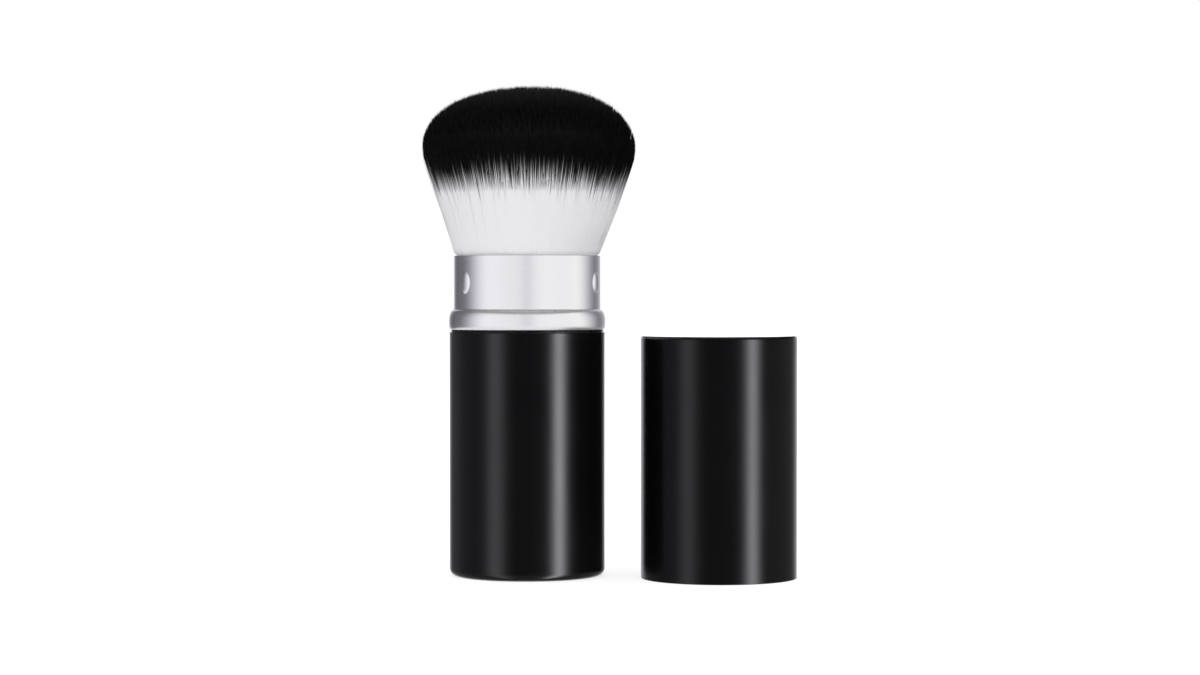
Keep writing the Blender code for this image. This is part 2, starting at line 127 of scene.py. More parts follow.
def tinted(level, brightest):
    """The RGB of a brightness: between the dim tint at 0 and neutral at the brightest, along a last axis."""
    level = np.asarray(level)[..., None]
    share = level / brightest
    return level * (np.array(DIM_TINT) * (1 - share) + share)


def linear(hex_colour):
    """The linear RGB of an sRGB colour such as 1a2b3c."""
    shares = [int(hex_colour[i : i + 2], 16) / 255 for i in (0, 2, 4)]
    return [s / 12.92 if s <= 0.04045 else ((s + 0.055) / 1.055) ** 2.4 for s in shares]


# ---------- What a user would change ----------


def share(name, description, default, low=0.0, high=1.0, **kind):
    """A plain share or strength, or a number of another kind."""
    return FloatProperty(name=name, description=description, default=default, min=low, max=high, **kind)


def length(*about):
    """A length in metres."""
    return share(*about, precision=5, unit="LENGTH")


def turn(name, description, degrees):
    """An angle, given in degrees."""
    return FloatProperty(name=name, description=description, default=math.radians(degrees), subtype="ANGLE")


def colour(name, description, hex_colour):
    """A colour, given as sRGB hex."""
    limits = {"size": 3, "min": 0.0, "max": 1.0, "subtype": "COLOR"}
    return FloatVectorProperty(name=name, description=description, default=linear(hex_colour), **limits)


class BrushMetalSizes(bpy.types.PropertyGroup):
    """Sizes of the drawn metal pieces."""

    wall: length("Wall", "Thickness of the drawn barrel, sleeve and cap", 0.0005)
    rim_round: length("Rim round", "Rounding of each cut rim's edges", 0.00012)
    barrel_corner: length("Barrel corner", "Rounding round the barrel's base", 0.0016)
    cap_corner: length("Cap corner", "Rounding round the cap's closed end", 0.0006)
    collar_radius: length("Collar radius", "Half the collar's diameter", 0.01508)
    tail_radius: length("Tail radius", "Half the diameter of the sleeve's hidden tail", 0.0143)
    tail_bottom: length("Tail bottom", "Height of the tail's lower end", SLEEVE[0].z)
    bead_gap: length("Bead gap", "Height of the bead above the mouth bush", 0.00003)
    bead_lower_height: length("Bead lower height", "Height of the bead below its widest ring", 0.00202)
    bead_lower_depth: length("Bead lower depth", "How far the bead rounds in below its widest ring", 0.00105)
    bead_upper_height: length("Bead upper height", "Height of the bead above its widest ring", 0.00225)
    bead_sweep: turn("Bead sweep", "How far the bead's shoulder turns before the fillet", 75)
    bead_fillet: length("Bead fillet", "Height of the concave fillet under the collar", 0.0003)
    bead_fullness: share("Bead fullness", "Fullness of the bead below its widest ring: 2 is an ellipse", 3.3, 1.5, 6.0)
    tail_fillet: length("Tail fillet", "Rounding where the tail leaves the bead", 0.0003)


class BrushBumpSizes(bpy.types.PropertyGroup):
    """The embossed grip bumps on the collar."""

    angles: FloatVectorProperty(
        name="Angles",
        description="Angles of the three bumps, counted from -Y towards +X",
        default=[math.radians(a) for a in (-56.2, 70.7, 186.0)],
        subtype="EULER",
    )
    width: length("Width", "Width of the lens that a bump is cut from", 0.0039)
    height: length("Height", "Height of the lens that a bump is cut from", 0.0050)
    proud: length("Proud", "How far a bump stands off the collar", 0.00038)
    sink: length("Sink", "How far the lens's middle lies under the collar", 0.0003)
    crease: length("Crease", "Softness of the crease round a bump", 0.00003)
    height_share: share("Height share", "Place of the bumps up the collar", 0.485)


class BrushHairSizes(bpy.types.PropertyGroup):
    """The tuft's outline and its strands."""

    widest_radius: length("Widest radius", "Half the tuft's widest diameter", 0.0222)
    widest_height: length("Widest height", "How far above the collar the tuft is widest", 0.0219)
    dome_height: length("Dome height", "Height of the dome above the widest ring", 0.0129)
    dome_power: share("Dome power", "Fullness of the dome: 2 is an ellipse, more is squarer", 2.23, 1.0, 4.0)
    flare_start: length("Flare start", "Radius of the flare's straight line at the collar's rim", 0.01476)
    flare_slope: share("Flare slope", "How fast the flare widens with height", 0.3535)
    shoulder: length("Shoulder", "Softness of the turn from the flare to the widest ring", 0.00042)
    outer_strands: IntProperty(name="Outer strands", description="Strands in the outer layer", default=8800, min=0)
    inner_strands: IntProperty(name="Inner strands", description="Strands that end on the dome", default=13600, min=0)
    lean: length("Lean", "How far the tuft's top leans towards +X", 0.00038)
    thickness: length("Thickness", "Thickness of a strand where it leaves the collar", 0.000105)
    tilt: share("Tilt", "How fast the dome's middle rises towards +X", 0.0187, -0.1, 0.1)
    dye_height: length("Dye height", "Height above the floor where half the strands are dyed", 0.08095)
    dye_swell: length("Dye swell", "How much higher the dye starts in front and behind, and lower at the sides", 0.0018)
    # Painted light: the crest keeps the strands at the tuft's sides pale higher up, standing in for light shining
    # through them from behind.
    painted_backlight_crest: length("Dye crest", "How much higher it starts again at the very sides", 0.0034)
    dye_spread: length("Dye spread", "How much the dye's height varies from strand to strand", 0.0012)
    dye_fade: length("Dye fade", "Length over which one strand turns from pale to dark", 0.0044)
    # The next two set painted light: from what height, and how far, the dyed tips are greyed for the light they catch
    # and let through.
    painted_tip_light_height: length("Fine height", "Height from which the dyed tips grow greyer", 0.0955)
    painted_tip_light_share: share("Fine share", "How grey the dyed tips are 6 mm above that", 0.31)
    softness: share("Softness", "How far the pale strands shade as one soft mass", 0.66)
    gathered: share("Gathered", "Share of its radius that the tuft keeps when the sleeve is up", 0.57)


class BrushFinishes(bpy.types.PropertyGroup):
    """Colours and gloss."""

    lacquer: colour("Lacquer", "Black lacquer of the barrel and cap", "050506")
    lacquer_roughness: share("Lacquer roughness", "Gloss of the lacquer", 0.22)
    level_roughness: share("Level roughness", "Gloss of the lacquer on a level face", 0.07)
    aluminium: colour("Aluminium", "Satin anodised aluminium", "e9e9e9")
    aluminium_roughness: share("Aluminium roughness", "Satin of the aluminium", 0.27)
    hair_root: colour("Hair root", "Undyed part of the strands", "e0dfe2")
    hair_tip: colour("Hair tip", "Dyed part of the strands", "0a0a0b")
    hair_roughness: share("Hair roughness", "Gloss of the strands", 0.5)
    hair_gloss: share("Hair gloss", "Strength of the gloss on the strands", 0.3)
    black_acetal: colour("Black acetal", "Moulded mouth bush", "0c0c0d")
    white_abs: colour("White ABS", "Moulded post and guide ring", "dcdcd8")
    steel: colour("Steel", "Turned weight slug", "8d8f92")
    nitrile: colour("Nitrile", "Rubber friction ring", "2c2c2e")
    epoxy: colour("Epoxy", "Cast resin at the roots", "b89a6a")


class BrushStudio(bpy.types.PropertyGroup):
    """Camera and light."""

    eye_right: length("Eye right", "The camera's place along X", 0.01504, -1.0)
    eye_distance: length("Eye distance", "The camera's distance in front of the brush", 0.620, 0.1, 3.0)
    eye_height: length("Eye height", "The camera's height above the floor", 0.060)
    tilt: turn("Tilt", "How far the camera looks down", 1.0026)
    lens: share("Lens", "Focal length in millimetres", 90.0, 10.0, 300.0)
    ambient: share("Ambient", "Soft light from all round on unpolished surfaces", 0.97, 0.0, 4.0)
    key: share("Key", "Brightness of the large soft lamp overhead", 2.5, 0.0, 20.0)
    strip_right: share("Right strip", "Brightness of the narrow right strip that the lacquer shows", 8.3, 0.0, 30.0)
    strip_left: share("Left strip", "Brightness of the dim left strip that the lacquer shows", 1.28, 0.0, 30.0)


# ---------- Surfaces ----------


def columns(*parts):
    """The parts side by side along a new last axis, brought to one shape."""
    return np.stack(np.broadcast_arrays(*parts), axis=-1)


def smooth_step(value, start, end):
    """0 before start and 1 after end. Between them, at share t of the way, it is t t (3 - 2 t)."""
    t = np.clip((value - start) / (end - start), 0, 1)
    return t * t * (3 - 2 * t)


def arc(centre, radii, start, end, steps):
    """Points (r, z) on an ellipse: centre plus the radii times the cosine and sine of the angle from start to end."""
    angles = np.linspace(start, end, steps + 1)
    return columns(centre[0] + radii[0] * np.cos(angles), centre[1] + radii[1] * np.sin(angles))


def hold_edges(profile, distance=0.00005):
    """Adds a point close to both ends of every long straight run, so that a smooth-shaded flat stays flat.

    The profile is taken as a line that grows by 1 from point to point, and is read again at the places that lie
    the given distance inside each run.
    """
    run = np.hypot(*np.diff(profile, axis=0).T)
    start = np.arange(len(run))
    long = run > 6 * distance
    inset = distance / np.maximum(run, distance)
    places = np.sort(np.concatenate([np.arange(len(profile)), (start + inset)[long], (start + 1 - inset)[long]]))
    return columns(*(np.interp(places, np.arange(len(profile)), line) for line in profile.T))


def cup_profile(radius, height, wall, corner, rim_round):
    """A drawn cup with its floor down, from the inside floor's middle to the underside's middle.

    It runs out along the inside floor, through a quarter circle, up the inner wall, over the rim through two small
    quarter circles, down the outer wall, and through the outer quarter circle to the axis.
    """
    inner = max(corner - wall, rim_round)
    small = (rim_round, rim_round)
    parts = [
        [(0.0, wall)],
        arc((radius - wall - inner, wall + inner), (inner, inner), -QUARTER, 0, 8),
        arc((radius - wall + rim_round, height - rim_round), small, math.pi, QUARTER, 5),
        arc((radius - rim_round, height - rim_round), small, QUARTER, 0, 5),
        arc((radius - corner, corner), (corner, corner), 0, -QUARTER, 16),
        [(0.0, 0.0)],
    ]
    return hold_edges(np.concatenate(parts))


def turned_points(profile, angles, centre=(0.0, 0.0), relief=0.0):
    """Turns a profile about an upright axis: x = cx + (r + relief) cos a, y = cy + (r + relief) sin a, z = z."""
    radius = profile[:, :1] + relief
    x = centre[0] + radius * np.cos(angles)
    y = centre[1] + radius * np.sin(angles)
    return columns(x, y, profile[:, 1:])


def grid_skin(grid, rows_join=False):
    """Points, quads and triangles of a closed skin through a grid of points (rows, columns, 3).

    Columns join up all round. Rows join up too, or else the first and the last row are each one point, a pole. The
    quad at row i and column j goes (i, j), (i + 1, j), (i + 1, j + 1), (i, j + 1), which faces outwards where the
    rows run down the outside and the columns run anticlockwise from above. At a pole it is a triangle.
    """
    number = np.arange(grid[..., 0].size).reshape(grid.shape[:2])
    if rows_join:
        number = np.vstack([number, number[:1]])
    else:
        number[0] = number[0, 0]
        number[-1] = number[-1, 0]
    used, compact = np.unique(number, return_inverse=True)
    number = compact.reshape(number.shape)
    after = np.roll(number, -1, axis=1)
    quads = columns(number[:-1], number[1:], after[1:], after[:-1]).reshape(-1, 4)
    first = quads[:, 0] == quads[:, 3]
    last = quads[:, 1] == quads[:, 2]
    triangles = np.concatenate([quads[first][:, :3], quads[last][:, [0, 1, 3]]])
    return grid.reshape(-1, 3)[used], quads[~(first | last)], triangles


def mesh_object(name, points, quads, triangles, uvs=None):
    """Puts whole arrays into a smooth-shaded mesh, with an OFBake UV map where one is given, corner by corner."""
    mesh = bpy.data.meshes.new(name)
    corners = np.concatenate([quads.ravel(), triangles.ravel()])
    starts = np.concatenate([np.arange(len(quads)) * 4, quads.size + np.arange(len(triangles)) * 3])
    mesh.vertices.add(len(points))
    mesh.vertices.foreach_set("co", points.astype(np.float32).ravel())
    mesh.loops.add(len(corners))
    mesh.loops.foreach_set("vertex_index", corners.astype(np.int32))
    mesh.polygons.add(len(starts))
    mesh.polygons.foreach_set("loop_start", starts.astype(np.int32))
    mesh.update(calc_edges=True)
    if uvs is not None:
        mesh.uv_layers.new(name="OFBake").data.foreach_set("uv", uvs.astype(np.float32).ravel())
    mesh.validate()
    mesh.shade_smooth()
    made = bpy.data.objects.new(name, mesh)
    bpy.context.scene.collection.objects.link(made)
    return made


def read_points(values, key):
    """What a mesh keeps for each point under the key, as rows of three."""
    rows = np.empty((len(values), 3), np.float32)
    values.foreach_get(key, rows.ravel())
    return rows


def mark_level_face(piece, height):
    """Marks the points at the given height, so that the lacquer knows its level face."""
    heights = read_points(piece.data.vertices, "co")[:, 2]
    level = piece.data.attributes.new("level_face", "FLOAT", "POINT")
    level.data.foreach_set("value", (np.abs(heights - height) < 0.000001).astype(np.float32))


def finish_piece(piece, surface, body, node):
    """Gives a piece its material and the body that it moves with, and hides the node whose place it takes."""
    piece.data.materials.append(surface)
    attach(piece, body)
    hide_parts(node)


def bead_profile(sizes, bead_bottom, bead_radius):
    """The bead's skin from the collar down to its flat underside.

    A quadratic curve leaves the collar's wall and meets an elliptical shoulder, which swells to the widest ring. Below
    it a superellipse rounds in: both half sizes times the cosine and the sine to the power 2 / fullness.
    """
    middle = bead_bottom + sizes.bead_lower_height
    shoulder = bead_radius - sizes.collar_radius
    upper = arc((sizes.collar_radius, middle), (shoulder, sizes.bead_upper_height), sizes.bead_sweep, 0, 20)
    start = np.array((sizes.collar_radius, middle + sizes.bead_upper_height + sizes.bead_fillet))
    slope = sizes.bead_upper_height / (shoulder * math.tan(sizes.bead_sweep))
    bend = np.array((sizes.collar_radius, upper[0, 1] + (upper[0, 0] - sizes.collar_radius) * slope))
    along = np.linspace(0, 1, 11)[:-1, None]
    fillet = (1 - along) ** 2 * start + 2 * along * (1 - along) * bend + along**2 * upper[0]
    depth = sizes.bead_lower_depth
    turned = np.linspace(0, QUARTER, 25)[1:]
    power = 2 / sizes.bead_fullness
    lower_radius = bead_radius - depth + depth * np.cos(turned).clip(0) ** power
    lower_height = middle - sizes.bead_lower_height * np.sin(turned) ** power
    return np.concatenate([fillet, upper, columns(lower_radius, lower_height)])


def inner_profile(outer, wall):
    """The outer profile moved in by the wall, each point along the mean normal of the two runs that meet there."""
    run = np.diff(outer, axis=0)
    run /= np.hypot(*run.T)[:, None]
    mean = np.concatenate([run[:1], run[:-1] + run[1:], run[-1:]])
    mean /= np.hypot(*mean.T)[:, None]
    return outer + wall * columns(mean[:, 1], -mean[:, 0])


def past_bump(bumps, angles):
    """How far each angle lies past the middle of the bump that is nearest to it."""
    off = (angles[:, None] - (np.array(bumps.angles) - QUARTER) + math.pi) % math.tau - math.pi
    return off[np.arange(len(angles)), np.abs(off).argmin(axis=1)]


def bump_relief(bumps, radius, middle, angles, heights):
    """How far the collar's wall stands out at each height and angle.

    A bump is the part of an ellipsoid that stands proud of the wall: its surface is at -sink + (sink + proud) times
    the square root of 1 - q, where q is the squared distance from the bump's middle over the half sizes. The crease
    is softened with c log(1 + exp(surface / c)).
    """
    across = past_bump(bumps, angles) * radius / (bumps.width / 2)
    up = (heights - middle) / (bumps.height / 2)
    squared = across[None, :] ** 2 + up[:, None] ** 2
    surface = (bumps.sink + bumps.proud) * np.sqrt(np.maximum(1 - squared, 0)) - bumps.sink
    surface -= bumps.sink * np.maximum(squared - 1, 0)
    return bumps.crease * np.logaddexp(0, surface / bumps.crease)


def crowded_angles(bumps, radius, count):
    """Angles all round, closer together across the bumps: the inverse of the running sum of a density.

    The density is 1 + 3.2 / (1 + exp((d - 0.6 width) / 0.4 mm)), with d the distance from a bump's middle.
    """
    even = np.linspace(0, math.tau, 4096)
    distance = np.abs(past_bump(bumps, even)) * radius
    density = 1 + 3.2 / (1 + np.exp((distance - bumps.width * 0.6) / 0.0004))
    total = np.concatenate([[0], np.cumsum(density[:-1] + density[1:])])
    return np.interp(np.linspace(0, total[-1], count + 1)[:-1], total, even)


# ---------- Materials ----------

# Noise mostly lies between 0.3 and 0.7
MOST_NOISE = {"From Min": 0.3, "From Max": 0.7}


def set_inputs(node, inputs):
    """Sets or links each input of a node. A node that is given as an input links its first output that is in use."""
    for socket, value in inputs.items():
        if isinstance(value, bpy.types.Node):
            value = next(output for output in value.outputs if output.enabled)
        if isinstance(value, bpy.types.NodeSocket):
            node.id_data.links.new(value, node.inputs[socket])
        else:
            node.inputs[socket].default_value = value


def add_node(tree, kind, inputs=None, **settings):
    """Adds a shader node with its settings and inputs."""
    made = tree.nodes.new("ShaderNode" + kind)
    for key, value in settings.items():
        setattr(made, key, value)
    set_inputs(made, inputs or {})
    return made


def new_material(name, base, roughness, metallic=0.0):
    """A Principled material. Returns it, what adds nodes to it, and its shader."""
    made = bpy.data.materials.new(name)
    made.use_nodes = True
    made.diffuse_color = (*base, 1.0)
    shader = made.node_tree.nodes["Principled BSDF"]
    set_inputs(shader, {"Base Color": (*base, 1.0), "Roughness": roughness, "Metallic": metallic})
    return made, functools.partial(add_node, made.node_tree), shader


def sized_pattern(add, size, detail, **inputs):
    """A pattern fixed to the object, with features of a real size, or of one size along each of X, Y and Z."""
    place = add("Mapping", {"Vector": add("TexCoord").outputs["Object"], "Scale": np.ones(3) / size})
    return add("TexNoise", {"Vector": place, "Scale": 1.0, "Detail": detail, **inputs})


def dimmed(base, factor):
    """A colour times a factor, with its alpha."""
    return (*(c * factor for c in base), 1.0)


def lacquer_material(finishes):
    """Black stoving lacquer sprayed on drawn aluminium: deep, glossy, with a faint orange peel and handling haze."""
    # The shader's own IOR, 1.5, is a clear acrylic lacquer's. The black under it is nearly no colour at all.
    rough = finishes.lacquer_roughness
    made, add, shader = new_material("black_stoved_lacquer", finishes.lacquer, rough)
    # Sprayed lacquer levels into waves a little over a millimetre across and about a micrometre high.
    waves = add("Bump", {"Height": sized_pattern(add, 0.0013, 1.0), "Distance": 0.0000012})
    # Grit from the air, a few tenths of a millimetre apart. It is drawn coarser than real so that it shows.
    specks = add("Bump", {"Height": sized_pattern(add, 0.00035, 2.0), "Distance": 0.00000012, "Normal": waves})
    # Fingers leave a haze in patches about a centimetre across.
    haze = sized_pattern(add, (0.011, 0.011, 0.014), 3.0)
    dulled = add("MapRange", {"Value": haze, **MOST_NOISE, "To Min": rough - 0.015, "To Max": rough + 0.03})
    # On a level face the wet lacquer flows out flatter, so it is glossier there.
    level = add("Attribute", attribute_name="level_face").outputs["Fac"]
    gloss = add("Mix", {0: level, 2: dulled, 3: finishes.level_roughness})
    set_inputs(shader, {"Roughness": gloss, "Normal": specks})
    return made


def aluminium_material(finishes):
    """Satin anodised aluminium: brushed round on a lathe and anodised, so it is bright, soft and faintly lined."""
    base, rough = finishes.aluminium, finishes.aluminium_roughness
    made, add, shader = new_material("satin_anodised_aluminium", base, rough, 1.0)
    # Brushing lines run round the piece, some 0.05 mm apart. They are drawn at 0.16 mm, or they would not show.
    lines = sized_pattern(add, (0.012, 0.012, 0.00016), 3.0, Roughness=0.6)
    line_share = add("MapRange", {"Value": lines, **MOST_NOISE})
    line_gloss = add("MapRange", {"Value": line_share, "To Min": -0.01, "To Max": 0.01})
    grooves = add("Bump", {"Height": lines, "Distance": 0.0000001})
    # Anodising leaves a cloudiness in patches about 4 mm across.
    cloud = sized_pattern(add, (0.004, 0.004, 0.0025), 2.0)
    cloud_gloss = add("MapRange", {"Value": cloud, **MOST_NOISE, "To Min": rough - 0.01, "To Max": rough + 0.01})
    gloss = add("Math", {0: line_gloss, 1: cloud_gloss})
    shade = add("Mix", {0: line_share, 6: dimmed(base, 0.992), 7: dimmed(base, 1)}, data_type="RGBA")
    set_inputs(shader, {"Roughness": gloss, "Base Color": shade, "Normal": grooves})
    return made


def hair_material(finishes, sizes):
    """Tapered PBT fibre, off-white, with its tips dipped in black dye: soft, with a dull gloss along each strand."""
    root, tip = finishes.hair_root, finishes.hair_tip
    made, add, shader = new_material("dip_dyed_pbt_fibre", tip, finishes.hair_roughness)
    dyed, up = add("SeparateXYZ", {0: add("UVMap", uv_map="OFBake")}).outputs[:2]
    # The height above the strand's own dye level, as a share of the dye's range
    lowest = (HAIR_LOW - sizes.dye_height) / DYE_RANGE + 0.5
    height = add("Math", {0: up, 1: HAIR_SPAN / DYE_RANGE, 2: lowest}, operation="MULTIPLY_ADD")
    above = add("Math", {0: height, 1: dyed}, operation="SUBTRACT")
    half = sizes.dye_fade / DYE_RANGE / 2
    wetted = add("MapRange", {"Value": above, "From Min": -half, "From Max": half}, interpolation_type="SMOOTHSTEP")
    # A little dye already darkens a fibre a lot.
    dye = add("Math", {0: wetted, 1: 0.5}, operation="POWER")
    # No two fibres take quite the same shade: their dye levels, spread out, pick it.
    which = add("Math", {0: dyed, 1: 331.0}, operation="MULTIPLY")
    differ = add("TexNoise", {"W": which, "Scale": 1.0, "Detail": 0.0}, noise_dimensions="1D")
    shade = add("MapRange", {"Value": differ, **MOST_NOISE})
    pale = add("Mix", {0: shade, 6: dimmed(root, 0.93), 7: dimmed(root, 1)}, data_type="RGBA")
    dark = add("Mix", {0: shade, 6: dimmed(tip, 0.6), 7: dimmed(tip, 1.9)}, data_type="RGBA")
    # Painted light: towards the top the dyed tips are made greyer, standing in for the light that the fine tapered tips
    # catch and let through.
    low, high = ((sizes.painted_tip_light_height + over - HAIR_LOW) / HAIR_SPAN for over in (0, 0.006))
    fine = add("MapRange", {"Value": up, "From Min": low, "From Max": high, "To Max": sizes.painted_tip_light_share})
    dark = add("Mix", {0: fine, 6: dark, 7: dimmed(root, 0.05)}, data_type="RGBA")
    strand = add("Mix", {0: dye, 6: pale, 7: dark}, data_type="RGBA")
    set_inputs(shader, {"Base Color": strand, "Specular IOR Level": finishes.hair_gloss})
    return made


def moulded_material(name, base, roughness, grain, depth):
    """Moulded plastic or rubber, with the grain that its mould was eroded or blasted with, so it has a soft sheen."""
    made, add, shader = new_material(name, base, roughness)
    pores = add("Bump", {"Height": sized_pattern(add, grain, 3.0), "Distance": depth})
    # The melt's flow leaves slow marks, half a centimetre wide, in the gloss.
    flow = sized_pattern(add, (0.005, 0.005, 0.009), 1.0)
    gloss = add("MapRange", {"Value": flow, **MOST_NOISE, "To Min": roughness - 0.04, "To Max": roughness + 0.04})
    set_inputs(shader, {"Roughness": gloss, "Normal": pores})
    return made


def steel_material(finishes):
    """Plain steel bar, turned and parted off on a lathe: grey, with fine feed rings and a thin film of oil."""
    made, add, shader = new_material("turned_mild_steel", finishes.steel, 0.38, 1.0)
    # A lathe's feed leaves rings about 0.15 mm apart.
    rings = sized_pattern(add, (0.02, 0.02, 0.00015), 2.0)
    gloss = add("MapRange", {"Value": rings, **MOST_NOISE, "To Min": 0.32, "To Max": 0.46})
    grooves = add("Bump", {"Height": rings, "Distance": 0.000002})
    set_inputs(shader, {"Roughness": gloss, "Normal": grooves})
    return made


def epoxy_material(finishes):
    """Cast amber epoxy that has wicked up among the roots: glossy, slightly cloudy, with tiny bubbles."""
    base = finishes.epoxy
    made, add, shader = new_material("cast_amber_epoxy", base, 0.22)
    # It is clouded in patches about 3 mm across.
    cloud_share = add("MapRange", {"Value": sized_pattern(add, 0.003, 3.0), **MOST_NOISE})
    shade = add("Mix", {0: cloud_share, 6: dimmed(base, 0.7), 7: dimmed(base, 1)}, data_type="RGBA")
    # Trapped air leaves pits about 0.4 mm apart.
    cells = add("TexVoronoi", {"Vector": add("TexCoord").outputs["Object"], "Scale": 1 / 0.0004})
    relief = add("Bump", {"Height": add("MapRange", {"Value": cells, **MOST_NOISE}), "Distance": 0.000004})
    set_inputs(shader, {"Base Color": shade, "Normal": relief})
    return made


# ---------- Hair ----------


def hair_outline(sizes, heights):
    """The tuft's outside radius at each height, for strands of the outermost ring.

    Above the rim it is the smooth lower of two lines: the flare, start + slope times height, and the widest radius,
    joined as widest - w log(1 + exp((widest - flare) / w)). Inside the collar it is the line that fills the hair cup
    and the collar, and a smooth step just over the rim passes from one to the other.
    """
    flare = sizes.flare_start + sizes.flare_slope * (heights - RIM)
    soft = sizes.shoulder
    outside = sizes.widest_radius - soft * np.logaddexp(0, (sizes.widest_radius - flare) / soft)
    inside = np.interp(heights, [CUP[1].z, RIM], [CUP[1].x - CUP_WALL, HAIR_IN_COLLAR])
    return inside + (outside - inside) * smooth_step(heights, RIM - 0.00005, RIM + 0.00055)


def dome_height(sizes, radial_share):
    """The dome's height above the widest ring: height times (1 - share^p)^(1/p)."""
    return sizes.dome_height * np.maximum(1 - radial_share**sizes.dome_power, 0) ** (1 / sizes.dome_power)


def tuft_lean(sizes, heights):
    """How far the tuft leans towards +X at each height: a smooth step that ends nearly half way up."""
    return sizes.lean * smooth_step(heights, RIM, RIM + sizes.widest_height * 0.45)


def packing(rise):
    """How much of its depth at the top a strand already has: 0.06 in the pale part, and 1 well above it."""
    return 0.06 + 0.94 * smooth_step(rise, 0.4, 0.9)


def strand_layer(sizes, radial_share, angle, levels, girth, lifts, vary, rng, packed=False):
    """The middle line of each strand of a layer, (strands, levels, 3), and its widths, (strands, levels).

    A strand at share s of the radius follows the outermost ring's line, scaled by s, and stretched in height so that
    it ends on the dome. Where it is packed, 1 - s is scaled by the packing. Its angle drifts towards the middle of
    its clump and off at random, more and more towards the tip, and a slow sine wave gives it a little sway. The dome's
    middle rises towards +X by the tilt times x, times 1 - 1.4 s^2, so its edge falls a little there. The lifts say how
    far a tip stands over the dome at random, and how far one in twenty, a stray, may stand over that. Its widths are
    the girth times the thickness, times 1 give or take as much as they vary.
    """
    def each(values):
        """One value for each strand, as a column beside the levels."""
        return values[:, None]

    count = len(angle)
    lift = rng.normal(0, lifts[0], count) + lifts[1] * rng.random(count) * (rng.random(count) < 0.05)
    tilt = sizes.tilt * sizes.widest_radius * radial_share * (1 - 1.4 * radial_share**2) * np.cos(angle)
    tip = RIM + sizes.widest_height + dome_height(sizes, radial_share) + lift + tilt
    over = levels[None, :] - RIM
    height = RIM + np.where(over > 0, over * each((tip - RIM) / sizes.widest_height), over)
    rise = np.clip(over / sizes.widest_height, 0, 1)
    depth = each(1 - radial_share) * (packing(rise) if packed else 1)
    radius = (1 - depth) * hair_outline(sizes, levels)[None, :]
    clump = math.tau / CLUMPS
    to_clump = (np.floor(angle / clump) + 0.5) * clump - angle
    wander = each(rng.normal(0, 0.00022, count)) * rise**1.5
    swing = each(rng.uniform(0.00001, 0.00007, count))
    sway = swing * np.sin(math.tau * (rise * each(rng.uniform(0.4, 1.3, count)) + each(rng.random(count))))
    turned = each(angle) + 0.12 * each(to_clump) * rise**2
    turned = turned + (wander + sway * rise) / np.maximum(radius, 0.003)
    radius = radius * (1 + each(rng.normal(0, 0.0025, count)) * rise**2)
    widths = sizes.thickness * girth * each(rng.uniform(1 - vary, 1 + vary, count))
    return columns(radius * np.cos(turned) + tuft_lean(sizes, height), radius * np.sin(turned), height), widths


def strand_skins(centres, widths, spin, dye_level):
    """A three-sided skin round each middle line, closed by a triangle at the root and running to a point at the tip.

    A corner is the middle plus half the width times the cosine and sine of its angle. Returns points, quads and
    triangles, and u at each corner of the two kinds: the strand's dye level, a sliver wide.
    """
    strands, rings = widths.shape
    corner = spin[:, None] + np.arange(STRAND_SIDES) * math.tau / STRAND_SIDES
    around = columns(np.cos(corner), np.sin(corner), 0)
    skin = centres[:, :-1, None, :] + widths[:, :-1, None, None] / 2 * around[:, None]
    points = np.concatenate([skin.reshape(strands, -1, 3), centres[:, -1:]], axis=1)
    ring = np.arange(rings - 2)[:, None] * STRAND_SIDES
    side = np.arange(STRAND_SIDES)
    after = (side + 1) % STRAND_SIDES
    quads = columns(ring + side, ring + after, ring + STRAND_SIDES + after, ring + STRAND_SIDES + side)
    top = (rings - 2) * STRAND_SIDES
    triangles = np.concatenate([columns(top + side, top + after, points.shape[1] - 1), [[2, 1, 0]]])
    quad_u = SLIVER * np.tile(columns(side, side + 1, side + 1, side), (rings - 2, 1))
    triangle_u = SLIVER * np.concatenate([columns(side, side + 1, side + 0.5), [[1, 0.5, 0]]])
    first = np.arange(strands)[:, None, None] * points.shape[1]
    quads = (quads.reshape(-1, 4) + first).reshape(-1, 4)
    triangles = (triangles + first).reshape(-1, 3)
    dye_level = dye_level[:, None, None]
    return points.reshape(-1, 3), quads, triangles, quad_u + dye_level, triangle_u + dye_level


def core_skin(sizes, start, end, dye_level):
    """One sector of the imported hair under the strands, a closed wedge: loops from the axis out round the arc.

    Its outside is 1.0025 - 0.0193 times the packing of the tuft's radius, so it fills the grooves between the pale
    strands and lies deeper between the dyed ones. It returns what strand_skins does.
    """
    top = RIM + sizes.widest_height - CORE_SUNK
    side_height = np.linspace(HAIR[0].z + 0.0010, top, 24)
    inset = 1.0025 - 0.0193 * packing(np.clip((side_height - RIM) / sizes.widest_height, 0, 1))
    side = columns(inset * hair_outline(sizes, side_height), side_height)
    radius = side[-1, 0] * np.cos(np.linspace(0, QUARTER, 12))
    dome = top + dome_height(sizes, radius / sizes.widest_radius)
    profile = np.concatenate([side, columns(radius, dome)])[::-1]
    # A column close to each side face keeps the shading of the outside from turning there.
    angles = np.sort(np.append(np.linspace(start, end, 33), [start + 0.0005, end - 0.0005]))
    axis = columns(0.0, 0.0, profile[:, 1:])
    loops = np.concatenate([axis, turned_points(profile, angles)], axis=1)
    loops[..., 0] += tuft_lean(sizes, loops[..., 2])
    bottom = columns(np.zeros((1, loops.shape[1])), 0.0, profile[-1, 1])
    points, quads, triangles = grid_skin(np.concatenate([loops, bottom]))
    quad_u = dye_level + np.tile([0.0, 0.0, 0.002, 0.002], (len(quads), 1))
    triangle_u = dye_level + np.tile([0.0, 0.001, 0.002], (len(triangles), 1))
    return points, quads, triangles, quad_u, triangle_u


